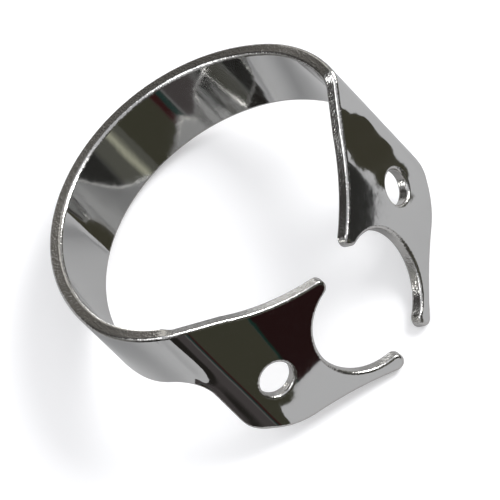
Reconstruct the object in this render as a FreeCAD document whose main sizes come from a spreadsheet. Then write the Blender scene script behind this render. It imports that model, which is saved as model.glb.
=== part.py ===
"""Rubber dam clamp for a molar: one spring-steel sheet, stamped, bent and polished.

Frame of the clamp while it is built: X across the tooth, Y from the distal to the
mesial side, Z from the jaws up to the bow. The outer faces of the two jaws, carried on,
meet at the origin. The finished piece is then turned about X until it lies at rest.
"""
import FreeCAD, Part
import math
import os
import Sketcher

NODE = "dam_clamp"

# Sizes in millimetres and degrees. Radii of bends are those of the middle of the sheet.
SIZES = {
    "sheet_thickness": 0.9,
    "rim_radius": 0.22,
    "bow_height": 18.55,
    "bow_half_width": 11.5,
    "bow_side_radius": 7.7,
    "bow_side_rise": 1.01,
    "bow_strip_width": 5.0,
    "bow_lean": 11.7,
    "bow_distal_reach": 13.1,
    "leg_top": 7.0,
    "leg_blend_radius": 14.0,
    "bend_radius": 1.0,
    "jaw_slope": 19.7,
    "ear_curl": 46.0,
    "ear_root_radius": 1.8,
    "shoulder_radius": 2.4,
    "distal_edge_angle": 40.5,
    "distal_edge_reach": 9.1,
    "distal_edge_offset": 8.9,
    "distal_edge_radius": 15.0,
    "mesial_edge_radius": 26.0,
    "belly_radius": 5.1,
    "belly_reach": 6.4,
    "belly_offset": 2.9,
    "notch_radius": 3.7,
    "notch_reach": 1.35,
    "prong_reach": 1.4,
    "prong_tip_radius": 0.56,
    "hole_diameter": 2.2,
    "hole_reach": 8.07,
    "hole_offset": 1.7,
}
# How far cuts run past the sheet on every side.
MARGIN = 2.0


class Sizes:
    """The driving sizes, read by name."""

    def __init__(self, values):
        self.__dict__.update(values)


def make_sheet(doc):
    """Write the sizes into a spreadsheet, one named cell each."""
    sheet = doc.addObject("Spreadsheet::Sheet", "Sizes")
    for row, (name, value) in enumerate(SIZES.items(), start=1):
        sheet.set(f"A{row}", name)
        sheet.set(f"B{row}", str(value))
        sheet.setAlias(f"B{row}", name)
    doc.recompute()
    return sheet


def origin_plane(body, role):
    """The body's own origin plane with that role."""
    return next(f for f in body.Origin.OriginFeatures if f.Role == role)


def new_sketch(body, name, role):
    """An empty sketch on one of the body's origin planes."""
    sketch = body.newObject("Sketcher::SketchObject", name)
    sketch.AttachmentSupport = [(origin_plane(body, role), "")]
    sketch.MapMode = "FlatFace"
    return sketch


def vec(point):
    """A sketch point as a vector."""
    return FreeCAD.Vector(point[0], point[1], 0)


def add_line(sketch, start, end):
    """Add a straight edge and return its index."""
    return sketch.addGeometry(Part.LineSegment(vec(start), vec(end)), False)


def add_arc(sketch, centre, radius, start, end):
    """Add an arc about centre, counter-clockwise between two directions in radians."""
    circle = Part.Circle(vec(centre), FreeCAD.Vector(0, 0, 1), radius)
    return sketch.addGeometry(Part.ArcOfCircle(circle, start, end), False)


def bind(sketch, kind, *refs, name, formula, value):
    """Add a named dimension that follows a formula of the sizes."""
    index = sketch.addConstraint(Sketcher.Constraint(kind, *refs, value))
    sketch.renameConstraint(index, name)
    sketch.setExpression(f"Constraints.{name}", formula)


def relate(sketch, kind, *refs):
    """Add a geometric relation."""
    sketch.addConstraint(Sketcher.Constraint(kind, *refs))


def pin(sketch, geo, end, name, x, y):
    """Hold one vertex at a place; x and y are (value, formula) pairs."""
    for axis, (value, formula) in (("X", x), ("Y", y)):
        bind(sketch, f"Distance{axis}", -1, 1, geo, end, name=f"{name}_{axis.lower()}",
             formula=formula, value=value)


def measure(sketch, name, geo, end, place):
    """Name the place of a vertex, so that other sketches can refer to it."""
    for axis, value in zip("XY", place):
        index = sketch.addConstraint(
            Sketcher.Constraint(f"Distance{axis}", -1, 1, geo, end, value))
        sketch.setDriving(index, False)
        sketch.renameConstraint(index, f"{name}_{axis.lower()}")


def heading(start, end):
    """Direction from one point to another, in radians."""
    return math.atan2(end[1] - start[1], end[0] - start[0])


def along(point, angle, distance):
    """The point at a distance in a direction."""
    return (point[0] + distance * math.cos(angle), point[1] + distance * math.sin(angle))


def meet(first, first_distance, second, second_distance, side):
    """The point at given distances from two points, left (+1) or right (-1) of their line."""
    gap = math.dist(first, second)
    run = (first_distance ** 2 - second_distance ** 2 + gap ** 2) / (2 * gap)
    rise = math.sqrt(first_distance ** 2 - run ** 2)
    base = along(first, heading(first, second), run)
    return along(base, heading(first, second) + side * math.pi / 2, rise)


def top_radius(size):
    """Radius of the bow's top arc, which runs on into the tighter arcs at its sides."""
    side_x = size.bow_half_width - size.sheet_thickness / 2 - size.bow_side_radius
    return size.bow_side_radius + math.hypot(side_x, size.bow_side_rise)


def bow_centres(size):
    """Centres of the bow's top arc, its side arc and the bend into the jaw, in X and Z."""
    half = size.sheet_thickness / 2
    slope = math.radians(size.jaw_slope)
    top = (0.0, size.bow_height - half - top_radius(size))
    side_x = size.bow_half_width - half - size.bow_side_radius
    side = (side_x, top[1] + size.bow_side_rise)
    above = half + size.bend_radius
    across = -side[0] * math.sin(slope) + side[1] * math.cos(slope) - above
    run = side[0] * math.cos(slope) + side[1] * math.sin(slope)
    run += math.sqrt((size.bow_side_radius - size.bend_radius) ** 2 - across ** 2)
    bend = along(along((0.0, 0.0), slope, run), slope + math.pi / 2, above)
    return top, side, bend


def draw_profile(body, size):
    """Half of the bent sheet seen from the front: bow, bend and jaw, one sheet thick."""
    sketch = new_sketch(body, "BentProfile", "XZ_Plane")
    half = size.sheet_thickness / 2
    slope = math.radians(size.jaw_slope)
    top, side, bend = bow_centres(size)
    turn_one = heading(top, side)
    turn_two = heading(side, bend)
    start = size.prong_reach / 2
    chains = {}
    for sign, face in ((1, "outer"), (-1, "inner")):
        arcs = [
            add_arc(sketch, top, top_radius(size) + sign * half, turn_one, math.pi / 2),
            add_arc(sketch, side, size.bow_side_radius + sign * half, turn_two, turn_one),
            add_arc(sketch, bend, size.bend_radius + sign * half, slope - math.pi / 2, turn_two),
        ]
        lift = half - sign * half
        inner_end = along(along((0, 0), slope, start), slope + math.pi / 2, lift)
        outer_end = along(bend, slope - math.pi / 2, size.bend_radius + sign * half)
        jaw = add_line(sketch, inner_end, outer_end)
        for arc, name in zip(arcs[1:], ("bow_side", "bend")):
            bind(sketch, "Radius", arc, name=f"{face}_{name}",
                 formula=f"Sizes.{name}_radius {'+' if sign > 0 else '-'} Sizes.sheet_thickness / 2",
                 value=sketch.Geometry[arc].Radius)
        relate(sketch, "PointOnObject", arcs[0], 2, -2)
        chains[face] = arcs + [jaw]
    outer, inner = chains["outer"], chains["inner"]
    for one, other, other_end in ((0, 1, 2), (1, 2, 2), (2, 3, 2)):
        relate(sketch, "Tangent", outer[one], 1, outer[other], other_end)
        hub = sketch.getPoint(outer[one], 3)
        spoke = add_line(sketch, hub, sketch.getPoint(outer[one], 1))
        sketch.toggleConstruction(spoke)
        relate(sketch, "Coincident", spoke, 1, outer[one], 3)
        relate(sketch, "Coincident", spoke, 2, outer[one], 1)
        if one == 1:
            relate(sketch, "PointOnObject", inner[one], 1, spoke)
        else:
            relate(sketch, "Coincident", inner[one], 1, inner[other], other_end)
        if other < 3:
            relate(sketch, "PointOnObject", inner[other], other_end, spoke)
    for one, other in zip(outer[:3], inner[:3]):
        relate(sketch, "Coincident", one, 3, other, 3)
    relate(sketch, "PointOnObject", outer[0], 3, -2)
    bind(sketch, "DistanceY", outer[0], 3, outer[1], 3, name="side_rise",
         formula="Sizes.bow_side_rise", value=size.bow_side_rise)
    relate(sketch, "PointOnObject", -1, 1, outer[3])
    relate(sketch, "Parallel", outer[3], inner[3])
    ends = [sketch.getPoint(chain[3], 1) for chain in (outer, inner)]
    cap = add_line(sketch, ends[0], ends[1])
    relate(sketch, "Coincident", cap, 1, outer[3], 1)
    relate(sketch, "Coincident", cap, 2, inner[3], 1)
    relate(sketch, "Perpendicular", cap, outer[3])
    crown = add_line(sketch, sketch.getPoint(outer[0], 2), sketch.getPoint(inner[0], 2))
    relate(sketch, "Coincident", crown, 1, outer[0], 2)
    relate(sketch, "Coincident", crown, 2, inner[0], 2)
    bind(sketch, "Angle", outer[3], name="slope", formula="Sizes.jaw_slope * 1 deg", value=slope)
    bind(sketch, "Distance", -1, 1, outer[3], 1, name="jaw_start",
         formula="Sizes.prong_reach / 2", value=start)
    bind(sketch, "DistanceY", -1, 1, outer[0], 2, name="height", formula="Sizes.bow_height",
         value=size.bow_height)
    bind(sketch, "DistanceX", -1, 1, outer[1], 3, name="side_centre",
         formula="Sizes.bow_half_width - Sizes.sheet_thickness / 2 - Sizes.bow_side_radius",
         value=side[0])
    measure(sketch, "bend", outer[2], 3, bend)
    return sketch


def edge_y(size, z, width=0.0):
    """Where an edge of the leaning bow lies at a height: distal, or mesial with the width."""
    drop = (size.bow_height - z) * math.tan(math.radians(size.bow_lean))
    return -size.bow_distal_reach + width + drop


def edge_formula(z, width="0"):
    """The same place as a formula of the sizes."""
    drop = f"(Sizes.bow_height - ({z})) * tan(Sizes.bow_lean * 1 deg)"
    return f"-Sizes.bow_distal_reach + {width} + {drop}"


def draw_distal_side(body, size):
    """Side view of what is cut away on the distal side of the leaning bow."""
    sketch = new_sketch(body, "DistalSide", "YZ_Plane")
    high = size.bow_height + MARGIN
    far = -size.bow_distal_reach - 2 * MARGIN
    corners = [(edge_y(size, high), high), (far, high), (far, -MARGIN),
               (edge_y(size, -MARGIN), -MARGIN)]
    high_formula = f"Sizes.bow_height + {MARGIN}"
    far_formula = f"-Sizes.bow_distal_reach - {2 * MARGIN}"
    formulas = [(edge_formula(high_formula), high_formula), (far_formula, high_formula),
                (far_formula, f"-{MARGIN}"), (edge_formula(f"-{MARGIN}"), f"-{MARGIN}")]
    for index, corner in enumerate(corners):
        add_line(sketch, corner, corners[(index + 1) % 4])
    for index, corner in enumerate(corners):
        relate(sketch, "Coincident", index, 2, (index + 1) % 4, 1)
        pin(sketch, index, 1, f"corner_{index}", (corner[0], formulas[index][0]),
            (corner[1], formulas[index][1]))
    return sketch


def leg_y(size):
    """Where the mesial edge of a leg lies, below the blend from the leaning bow."""
    corner = size.leg_top + size.leg_blend_radius * math.tan(math.radians(size.bow_lean / 2))
    return edge_y(size, corner, size.bow_strip_width)


def draw_mesial_side(body, size):
    """Side view of what is cut away on the mesial side of the bow, down to the legs."""
    sketch = new_sketch(body, "MesialSide", "YZ_Plane")
    lean = math.radians(size.bow_lean)
    high = size.bow_height + MARGIN
    leg, low = leg_y(size), size.leg_top
    centre = (leg - size.leg_blend_radius, low)
    top = (edge_y(size, high, size.bow_strip_width), high)
    edge = add_line(sketch, top, along(centre, lean, size.leg_blend_radius))
    blend = add_arc(sketch, centre, size.leg_blend_radius, 0, lean)
    far = 3 * MARGIN
    points = [(leg, low), (far, low), (far, high), top]
    sides = [add_line(sketch, one, other) for one, other in zip(points, points[1:])]
    relate(sketch, "Tangent", edge, 2, blend, 2)
    relate(sketch, "Coincident", blend, 1, sides[0], 1)
    relate(sketch, "Horizontal", blend, 3, blend, 1)
    for one, other in zip(sides, sides[1:] + [edge]):
        relate(sketch, "Coincident", one, 2, other, 1)
    relate(sketch, "Horizontal", sides[0])
    relate(sketch, "Vertical", sides[1])
    high_formula = f"Sizes.bow_height + {MARGIN}"
    pin(sketch, edge, 1, "crown", (top[0], edge_formula(high_formula, "Sizes.bow_strip_width")),
        (high, high_formula))
    bind(sketch, "Angle", edge, name="lean", formula="(Sizes.bow_lean - 90) * 1 deg",
         value=lean - math.pi / 2)
    bind(sketch, "Radius", blend, name="blend", formula="Sizes.leg_blend_radius",
         value=size.leg_blend_radius)
    bind(sketch, "DistanceY", -1, 1, blend, 1, name="leg_top", formula="Sizes.leg_top",
         value=low)
    measure(sketch, "leg", blend, 1, (leg, low))
    pin(sketch, sides[1], 2, "far", (far, f"{far}"), (high, high_formula))
    return sketch


def draw_relief(body, size):
    """Front view of what is cut away behind the leg, down to the curled ear of the jaw."""
    sketch = new_sketch(body, "LegRelief", "XZ_Plane")
    sketch.setExpression("AttachmentOffset.Base.z", "-MesialSide.Constraints.leg_x")
    bend = bow_centres(size)[2]
    ear = math.radians(size.jaw_slope - 90 + size.ear_curl)
    reach = size.bend_radius + 2 * size.sheet_thickness
    wide, high = size.bow_half_width + 2 * MARGIN, size.bow_height + MARGIN
    out = along(bend, ear, reach)
    points = [bend, out, (wide, out[1]), (wide, high), (-MARGIN, high), (-MARGIN, bend[1])]
    for index, point in enumerate(points):
        add_line(sketch, point, points[(index + 1) % len(points)])
    for index in range(len(points)):
        relate(sketch, "Coincident", index, 2, (index + 1) % len(points), 1)
    for index, kind in ((1, "Horizontal"), (2, "Vertical"), (3, "Horizontal"), (4, "Vertical"),
                        (5, "Horizontal")):
        relate(sketch, kind, index)
    pin(sketch, 0, 1, "bend", (bend[0], "BentProfile.Constraints.bend_x"),
        (bend[1], "BentProfile.Constraints.bend_y"))
    bind(sketch, "Angle", 0, name="ear", value=ear,
         formula="(Sizes.jaw_slope - 90 + Sizes.ear_curl) * 1 deg")
    bind(sketch, "Distance", 0, name="out", value=reach,
         formula="Sizes.bend_radius + 2 * Sizes.sheet_thickness")
    pin(sketch, 3, 1, "wide", (wide, f"Sizes.bow_half_width + {2 * MARGIN}"),
        (high, f"Sizes.bow_height + {MARGIN}"))
    bind(sketch, "DistanceX", -1, 1, 4, 1, name="middle", formula=f"-{MARGIN}", value=-MARGIN)
    return sketch


def jaw_points(size):
    """Centres and tangent points of the jaw's outline, in the plane of its outer face."""
    tip, notch_r = size.prong_tip_radius, size.notch_radius
    notch = (size.notch_reach, 0.0)
    tip_x = size.prong_reach + tip
    rise = math.sqrt((notch_r + tip) ** 2 - (tip_x - notch[0]) ** 2)
    distal_tip, mesial_tip = (tip_x, -rise), (tip_x, rise)
    belly = (size.belly_reach, -size.belly_offset)
    mesial = meet(mesial_tip, size.mesial_edge_radius + tip,
                  belly, size.mesial_edge_radius + size.belly_radius, 1)
    slant = -math.radians(size.distal_edge_angle)
    known = (size.distal_edge_reach, -size.distal_edge_offset)
    off = along(known, slant - math.pi / 2, size.distal_edge_radius)
    gap = (distal_tip[0] - off[0], distal_tip[1] - off[1])
    run = gap[0] * math.cos(slant) + gap[1] * math.sin(slant)
    across = gap[1] * math.cos(slant) - gap[0] * math.sin(slant)
    run += math.sqrt((size.distal_edge_radius + tip) ** 2 - across ** 2)
    distal = along(off, slant, run)
    return {"notch": notch, "distal_tip": distal_tip, "mesial_tip": mesial_tip,
            "belly": belly, "mesial": mesial, "distal": distal, "slant": slant}


def tilt_to_jaw(sketch, size):
    """Lay a sketch in the plane of the jaw's outer face."""
    axis = FreeCAD.Vector(0, -1, 0)
    sketch.AttachmentOffset = FreeCAD.Placement(
        FreeCAD.Vector(), FreeCAD.Rotation(axis, size.jaw_slope))
    sketch.setExpression("AttachmentOffset.Rotation.Angle", "Sizes.jaw_slope * 1 deg")


def draw_jaw(body, size):
    """Everything round the outline of a jaw and its two prongs, on its outer face."""
    sketch = new_sketch(body, "JawOutline", "XY_Plane")
    tilt_to_jaw(sketch, size)
    p = jaw_points(size)
    slant = p["slant"]
    wide = size.bow_half_width + 2 * MARGIN
    start = along(p["distal"], slant + math.pi / 2, size.distal_edge_radius)
    outside = along(start, slant, (wide - start[0]) / math.cos(slant))
    shoulder = add_line(sketch, outside, start)
    distal = add_arc(sketch, p["distal"], size.distal_edge_radius, slant + math.pi / 2,
                     heading(p["distal"], p["distal_tip"]))
    low_tip = add_arc(sketch, p["distal_tip"], size.prong_tip_radius,
                      heading(p["distal_tip"], p["notch"]), heading(p["distal_tip"], p["distal"]))
    notch = add_arc(sketch, p["notch"], size.notch_radius,
                    heading(p["notch"], p["distal_tip"]), heading(p["notch"], p["mesial_tip"]))
    high_tip = add_arc(sketch, p["mesial_tip"], size.prong_tip_radius,
                       heading(p["mesial_tip"], p["mesial"]), heading(p["mesial_tip"], p["notch"]))
    mesial = add_arc(sketch, p["mesial"], size.mesial_edge_radius,
                     heading(p["mesial"], p["mesial_tip"]), heading(p["mesial"], p["belly"]))
    belly = add_arc(sketch, p["belly"], size.belly_radius, 0, heading(p["belly"], p["mesial"]))
    side = (p["belly"][0] + size.belly_radius, p["belly"][1])
    ledge = add_line(sketch, side, (wide, side[1]))
    rim = add_line(sketch, (wide, side[1]), outside)
    joins = ((shoulder, 2, distal, 1), (distal, 2, low_tip, 2), (low_tip, 1, notch, 1),
             (notch, 2, high_tip, 2), (high_tip, 1, mesial, 1), (mesial, 2, belly, 2))
    for join in joins:
        relate(sketch, "Tangent", *join)
    for one, one_end, other, other_end in ((belly, 1, ledge, 1), (ledge, 2, rim, 1),
                                           (rim, 2, shoulder, 1)):
        relate(sketch, "Coincident", one, one_end, other, other_end)
    relate(sketch, "Horizontal", belly, 3, belly, 1)
    relate(sketch, "Horizontal", ledge)
    relate(sketch, "Vertical", rim)
    relate(sketch, "PointOnObject", notch, 3, -1)
    for index, name in ((distal, "distal_edge_radius"), (low_tip, "prong_tip_radius"),
                        (notch, "notch_radius"), (high_tip, "prong_tip_radius"),
                        (mesial, "mesial_edge_radius"), (belly, "belly_radius")):
        bind(sketch, "Radius", index, name=f"radius_{index}", formula=f"Sizes.{name}",
             value=getattr(size, name))
    tip_x = ("Sizes.prong_reach + Sizes.prong_tip_radius", p["distal_tip"][0])
    for index, name, (formula, value) in (
            (notch, "notch_reach", ("Sizes.notch_reach", size.notch_reach)),
            (low_tip, "distal_prong", tip_x), (high_tip, "mesial_prong", tip_x)):
        bind(sketch, "DistanceX", -1, 1, index, 3, name=name, formula=formula, value=value)
    pin(sketch, belly, 3, "belly", (p["belly"][0], "Sizes.belly_reach"),
        (p["belly"][1], "-Sizes.belly_offset"))
    bind(sketch, "Angle", shoulder, name="slant", value=slant + math.pi,
         formula="(180 - Sizes.distal_edge_angle) * 1 deg")
    known = (size.distal_edge_reach, -size.distal_edge_offset)
    mark = sketch.addGeometry(Part.Point(vec(known)), True)
    pin(sketch, mark, 1, "edge", (known[0], "Sizes.distal_edge_reach"),
        (known[1], "-Sizes.distal_edge_offset"))
    relate(sketch, "PointOnObject", mark, 1, shoulder)
    bind(sketch, "DistanceX", -1, 1, rim, 1, name="wide", value=wide,
         formula=f"Sizes.bow_half_width + {2 * MARGIN}")
    draw_frame(sketch, size)
    return sketch


def draw_frame(sketch, size):
    """The outer border of what is cut away round the jaw."""
    left, right = (0.0, "0"), (size.bow_half_width + 3 * MARGIN,
                               f"Sizes.bow_half_width + {3 * MARGIN}")
    low = (-size.bow_distal_reach - 3 * MARGIN, f"-Sizes.bow_distal_reach - {3 * MARGIN}")
    high = (size.bow_distal_reach + 3 * MARGIN, f"Sizes.bow_distal_reach + {3 * MARGIN}")
    corners = [(left, low), (right, low), (right, high), (left, high)]
    sides = [add_line(sketch, (x[0], y[0]), (corners[(i + 1) % 4][0][0], corners[(i + 1) % 4][1][0]))
             for i, (x, y) in enumerate(corners)]
    for index, side in enumerate(sides):
        relate(sketch, "Coincident", side, 2, sides[(index + 1) % 4], 1)
    for index, side in enumerate(sides):
        relate(sketch, "Horizontal" if index % 2 == 0 else "Vertical", side)
    for index, name in ((0, "frame_low"), (2, "frame_high")):
        x, y = corners[index]
        pin(sketch, sides[index], 1, name, x, y)


def draw_hole(body, size):
    """The forceps hole, on the outer face of the jaw."""
    sketch = new_sketch(body, "ForcepsHole", "XY_Plane")
    tilt_to_jaw(sketch, size)
    centre = (size.hole_reach, -size.hole_offset)
    circle = sketch.addGeometry(
        Part.Circle(vec(centre), FreeCAD.Vector(0, 0, 1), size.hole_diameter / 2), False)
    pin(sketch, circle, 3, "centre", (centre[0], "Sizes.hole_reach"),
        (centre[1], "-Sizes.hole_offset"))
    bind(sketch, "Diameter", circle, name="bore", formula="Sizes.hole_diameter",
         value=size.hole_diameter)
    return sketch


def cut(body, sketch, **settings):
    """Pocket with a sketch; it must take material away."""
    before = body.Tip.Shape.Volume
    pocket = body.newObject("PartDesign::Pocket", sketch.Name + "Cut")
    pocket.Profile = sketch
    for name, value in settings.items():
        setattr(pocket, name, value)
    body.Document.recompute()
    if not pocket.Shape.Volume < before:
        raise RuntimeError(f"{pocket.Name} took nothing away")
    return pocket


def on_jaw(size, x, y, height=0.0):
    """The point of the body above a place on the jaw's outer face."""
    slope = math.radians(size.jaw_slope)
    return FreeCAD.Vector(x * math.cos(slope) - height * math.sin(slope), y,
                          x * math.sin(slope) + height * math.cos(slope))


def corner_places(size):
    """Middle of each corner edge that runs through the sheet, with its rounding."""
    half = size.sheet_thickness / 2
    p = jaw_points(size)
    bend = bow_centres(size)[2]
    start = along(p["distal"], p["slant"] + math.pi / 2, size.distal_edge_radius)
    shoulder_y = edge_y(size, bend[1] - size.bend_radius)
    shoulder_x = start[0] + (start[1] - shoulder_y) / math.tan(-p["slant"])
    ear = math.radians(size.jaw_slope - 90 + size.ear_curl)
    rim_x, rim_z = along(bend, ear, size.bend_radius)
    return (("Shoulder", on_jaw(size, shoulder_x, shoulder_y, half), "shoulder_radius"),
            ("EarRoot", FreeCAD.Vector(rim_x, leg_y(size), rim_z), "ear_root_radius"))


def edge_angle(shape, edge):
    """Angle between the two faces beside an edge, or none at the middle plane."""
    faces = shape.ancestorsOfType(edge, Part.Face)
    if len(faces) != 2 or any(abs(face.CenterOfMass.x) < 1e-6 for face in faces):
        return 0.0
    middle = edge.valueAt((edge.FirstParameter + edge.LastParameter) / 2)
    first, second = (face.normalAt(*face.Surface.parameter(middle)) for face in faces)
    return math.degrees(first.getAngle(second))


def round_edges(body, name, radius, picks):
    """Round some edges of the body by a radius of the sheet."""
    base = body.Tip
    fillet = body.newObject("PartDesign::Fillet", name)
    fillet.Base = (base, picks)
    fillet.setExpression("Radius", f"Sizes.{radius}")
    body.Document.recompute()
    return fillet


def round_corners(body, size):
    """Round the corners of the outline that the blank has beside the prongs."""
    for name, place, radius in corner_places(size):
        edges = body.Tip.Shape.Edges
        nearest = min(range(len(edges)), key=lambda i: (edges[i].CenterOfMass - place).Length)
        round_edges(body, name, radius, [f"Edge{nearest + 1}"])


def round_rims(body):
    """Round every rim of the sheet, as tumbling and polishing leave it."""
    shape = body.Tip.Shape
    picks = [f"Edge{i + 1}" for i, edge in enumerate(shape.Edges) if edge_angle(shape, edge) > 25]
    round_edges(body, "PolishedRims", "rim_radius", picks)


def make_clamp(doc, size):
    """One half of the sheet is bent, cut and rounded, and then mirrored across the tooth."""
    body = doc.addObject("PartDesign::Body", NODE)
    body.Label = NODE
    doc.recompute()
    pad = body.newObject("PartDesign::Pad", "BentSheet")
    pad.Profile = draw_profile(body, size)
    pad.SideType = "Symmetric"
    pad.setExpression("Length", f"2 * (Sizes.bow_distal_reach + {MARGIN})")
    doc.recompute()
    cut(body, draw_distal_side(body, size), SideType="Symmetric", Type="ThroughAll")
    cut(body, draw_mesial_side(body, size), SideType="Symmetric", Type="ThroughAll")
    cut(body, draw_relief(body, size), Type="ThroughAll")
    for draw in (draw_jaw, draw_hole):
        pocket = cut(body, draw(body, size), Reversed=True, Length=2 * size.sheet_thickness)
        pocket.setExpression("Length", "2 * Sizes.sheet_thickness")
    doc.recompute()
    round_corners(body, size)
    round_rims(body)
    mirror = body.newObject("PartDesign::Mirrored", "OtherHalf")
    mirror.TransformMode = "Whole shape"
    mirror.MirrorPlane = (origin_plane(body, "YZ_Plane"), [""])
    body.Tip = mirror
    doc.recompute()
    return body


def turned(shape, angle):
    """A copy of a shape turned about the X axis."""
    copy = shape.copy()
    copy.rotate(FreeCAD.Vector(), FreeCAD.Vector(1, 0, 0), angle)
    return copy


def lowest(shape, angle):
    """Height of the lowest point of a shape once it is turned about the X axis."""
    return turned(shape, angle).optimalBoundingBox(False).ZMin


def lay_down(body, size):
    """Turn the clamp over onto its jaws and the mesial rim of its bow, and set it on Z = 0."""
    level = size.bow_height / 2
    reach = 4 * size.bow_height
    corner = FreeCAD.Vector(-reach / 2, -reach / 2, level)
    upper = Part.makeBox(reach, reach, reach, corner)
    bow, jaws = body.Shape.common(upper), body.Shape.cut(upper)
    low, high = 180.0, 270.0
    while high - low > 1e-4:
        middle = (low + high) / 2
        if lowest(bow, middle) < lowest(jaws, middle):
            low = middle
        else:
            high = middle
    box = turned(body.Shape, low).optimalBoundingBox(False)
    body.Placement = FreeCAD.Placement(
        FreeCAD.Vector(0, -(box.YMin + box.YMax) / 2, -box.ZMin),
        FreeCAD.Rotation(FreeCAD.Vector(1, 0, 0), low))


def check(doc, body):
    """Stop unless every feature and the finished solid are sound."""
    for item in doc.Objects:
        if {"Invalid", "Error"} & set(item.State):
            raise RuntimeError(f"{item.Name} failed: {item.State}")
    shape = body.Shape
    if shape.isNull() or not shape.isValid() or len(shape.Solids) != 1:
        raise RuntimeError(f"{body.Label} is not one sound solid")


def main():
    """Build the clamp and write it."""
    doc = FreeCAD.newDocument("RubberDamClamp")
    make_sheet(doc)
    size = Sizes(SIZES)
    body = make_clamp(doc, size)
    lay_down(body, size)
    doc.recompute()
    check(doc, body)
    os.makedirs("parts", exist_ok=True)
    body.Shape.exportStep(f"parts/{body.Label}.step")
    box = body.Shape.optimalBoundingBox(False)
    print(f"{body.Label}: {box.XLength:.2f} x {box.YLength:.2f} x {box.ZLength:.2f} mm, "
          f"{body.Shape.Volume:.1f} mm3, turned {math.degrees(body.Placement.Rotation.Angle):.2f}")


main()
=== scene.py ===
"""Rubber dam clamp, dressed: one stamped, bent and polished spring-steel sheet on a pale table.

The sheet is drawn flat, as its blank, with its rims already rounded. A node tree then bends
the blank round the profile of bow, legs and jaws and lays it down as it comes to rest. Sizes
of the sheet are in millimetres; everything else is in metres.
"""

import logging
import math
from collections.abc import Sequence
from dataclasses import dataclass, field
from enum import Enum

import bpy
import numpy as np
from mathutils import Matrix, Vector
from mathutils.geometry import delaunay_2d_cdt

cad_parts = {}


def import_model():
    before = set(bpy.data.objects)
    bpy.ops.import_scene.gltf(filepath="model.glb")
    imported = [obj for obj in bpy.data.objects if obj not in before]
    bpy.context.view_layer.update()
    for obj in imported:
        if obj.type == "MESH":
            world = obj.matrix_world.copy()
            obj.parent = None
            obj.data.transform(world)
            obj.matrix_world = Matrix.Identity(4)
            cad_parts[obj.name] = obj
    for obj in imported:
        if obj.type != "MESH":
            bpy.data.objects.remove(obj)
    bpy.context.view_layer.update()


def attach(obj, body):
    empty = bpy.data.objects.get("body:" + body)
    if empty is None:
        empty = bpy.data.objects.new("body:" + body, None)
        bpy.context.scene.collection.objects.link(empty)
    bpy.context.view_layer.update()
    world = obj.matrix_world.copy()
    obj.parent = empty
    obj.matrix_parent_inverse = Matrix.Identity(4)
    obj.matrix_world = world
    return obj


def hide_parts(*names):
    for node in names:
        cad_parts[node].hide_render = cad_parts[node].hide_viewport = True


LOG = logging.getLogger("dam_clamp")
MM = 0.001
NODE = "dam_clamp"
FULL_TURN = 2 * math.pi
FINE_STEP = 0.02
LEAST_POINTS = 8
SAME_PLACE = 1e-9
MERGE_DISTANCE = 1e-7
LEAST_TURN = 1e-5
NUMBER, VECTOR = "NodeSocketFloat", "NodeSocketVector"
MATERIAL, GEOMETRY = "NodeSocketMaterial", "NodeSocketGeometry"
WHITE = (1.0, 1.0, 1.0, 1.0)

Pair = tuple[float, float]
Triple = tuple[float, float, float]
Socket = bpy.types.NodeSocket
Tree = bpy.types.NodeTree


class Face(Enum):
    """Which finish a face of the sheet takes."""

    SHEET = 0
    RIM = 1


@dataclass(frozen=True)
class Stretch:
    """One stretch of the profile: how long it is and how far it turns, in radians."""

    name: str
    length: float
    turn: float


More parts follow.
